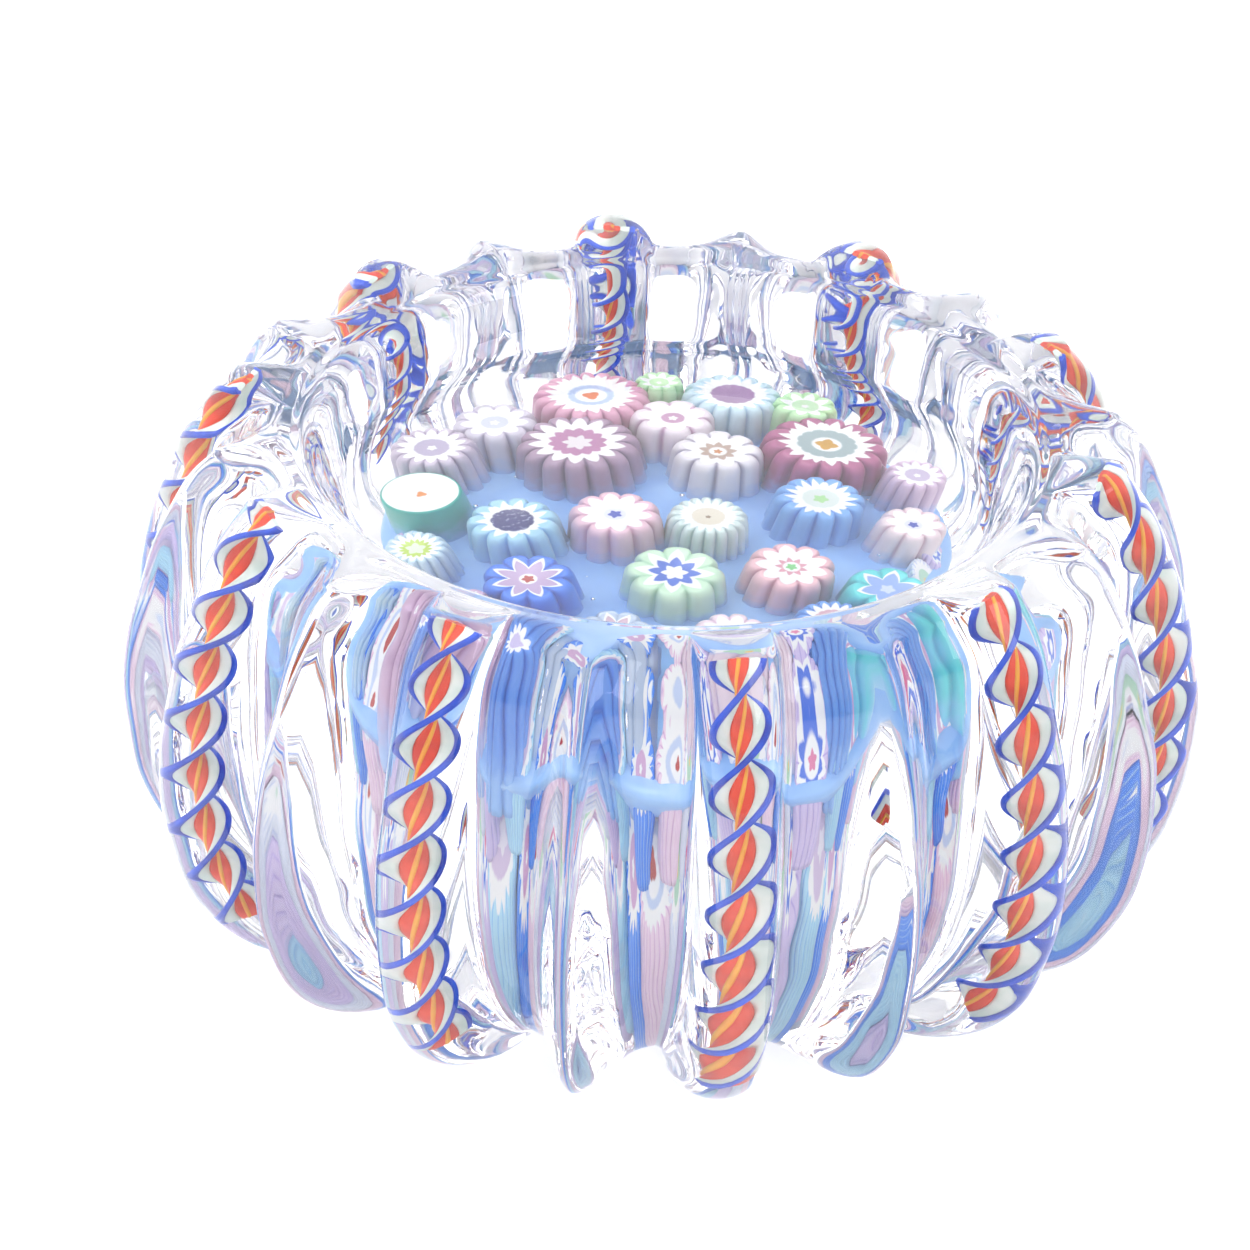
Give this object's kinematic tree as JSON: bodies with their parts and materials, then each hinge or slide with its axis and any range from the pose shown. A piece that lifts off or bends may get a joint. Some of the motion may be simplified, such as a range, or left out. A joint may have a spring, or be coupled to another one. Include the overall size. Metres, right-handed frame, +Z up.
{
  "type": "millefiori glass bowl",
  "caption": "Thick clear crystal dish with rounded twist-cane ribs, pointed fins and a shallow well over a cushion of coloured millefiori canes.",
  "frame": {"origin": "on the bowl's axis, on the flat polished face that it rests on", "axes": "+Z up along the bowl's axis, out of the well; -Y towards a twist rib, which is the front; +X to the right seen from the front"},
  "size_m": [0.0972, 0.0956, 0.0473],
  "materials": {
    "clear_crystal": "clear lead crystal, fire polished, colourless with a faint blue cast",
    "colour_ground": "opaque cornflower-blue glass under clear crystal",
    "twist_ribbon": "opaque ribbon glass: orange-red with a yellow middle stripe, white and royal blue edges",
    "cane_pink": "opaque pink millefiori cane with white scallops",
    "cane_green": "opaque pale green millefiori cane with a white star",
    "cane_royal": "opaque royal blue millefiori cane with a white flower",
    "cane_lavender": "opaque lavender millefiori cane with a white flower",
    "cane_plum": "opaque plum millefiori cane with a white scalloped ring",
    "cane_sky": "opaque light blue millefiori cane with a dark star",
    "cane_white": "opaque white millefiori cane with a mauve heart",
    "cane_turquoise": "opaque teal millefiori cane with a white top",
    "cane_burgundy": "opaque burgundy millefiori cane with white scallops and an amber heart",
    "cane_amber": "opaque tan millefiori cane with a white star"
  },
  "bodies": {
    "root": {"crystal_body": "clear_crystal", "base_gather": "clear_crystal", "colour_ground": "colour_ground", "cushion_cane_01": "cane_pink", "cushion_cane_02": "cane_green", "cushion_cane_03": "cane_green", "cushion_cane_04": "cane_pink", "cushion_cane_05": "cane_royal", "cushion_cane_06": "cane_lavender", "cushion_cane_07": "cane_plum", "cushion_cane_08": "cane_sky", "cushion_cane_09": "cane_royal", "cushion_cane_10": "cane_lavender", "cushion_cane_11": "cane_pink", "cushion_cane_12": "cane_white", "cushion_cane_13": "cane_turquoise", "cushion_cane_14": "cane_pink", "cushion_cane_15": "cane_lavender", "cushion_cane_16": "cane_burgundy", "cushion_cane_17": "cane_amber", "cushion_cane_18": "cane_sky", "cushion_cane_19": "cane_white", "cushion_cane_20": "cane_green", "cushion_cane_21": "cane_pink", "cushion_cane_22": "cane_white", "cushion_cane_23": "cane_lavender", "cushion_cane_24": "cane_turquoise", "cushion_cane_25": "cane_sky", "cushion_cane_26": "cane_pink", "cushion_cane_27": "cane_royal", "outer_cane_01": "cane_pink", "outer_cane_02": "cane_sky", "outer_cane_03": "cane_lavender", "outer_cane_04": "cane_royal", "outer_cane_05": "cane_pink", "outer_cane_06": "cane_white", "outer_cane_07": "cane_lavender", "outer_cane_08": "cane_sky", "outer_cane_09": "cane_pink", "outer_cane_10": "cane_royal", "twist_rod_01": "clear_crystal", "twist_rod_02": "clear_crystal", "twist_rod_03": "clear_crystal", "twist_rod_04": "clear_crystal", "twist_rod_05": "clear_crystal", "twist_rod_06": "clear_crystal", "twist_rod_07": "clear_crystal", "twist_rod_08": "clear_crystal", "twist_rod_09": "clear_crystal", "twist_rod_10": "clear_crystal", "twist_ribbon_01": "twist_ribbon", "twist_ribbon_02": "twist_ribbon", "twist_ribbon_03": "twist_ribbon", "twist_ribbon_04": "twist_ribbon", "twist_ribbon_05": "twist_ribbon", "twist_ribbon_06": "twist_ribbon", "twist_ribbon_07": "twist_ribbon", "twist_ribbon_08": "twist_ribbon", "twist_ribbon_09": "twist_ribbon", "twist_ribbon_10": "twist_ribbon"}
  },
  "joints": []
}
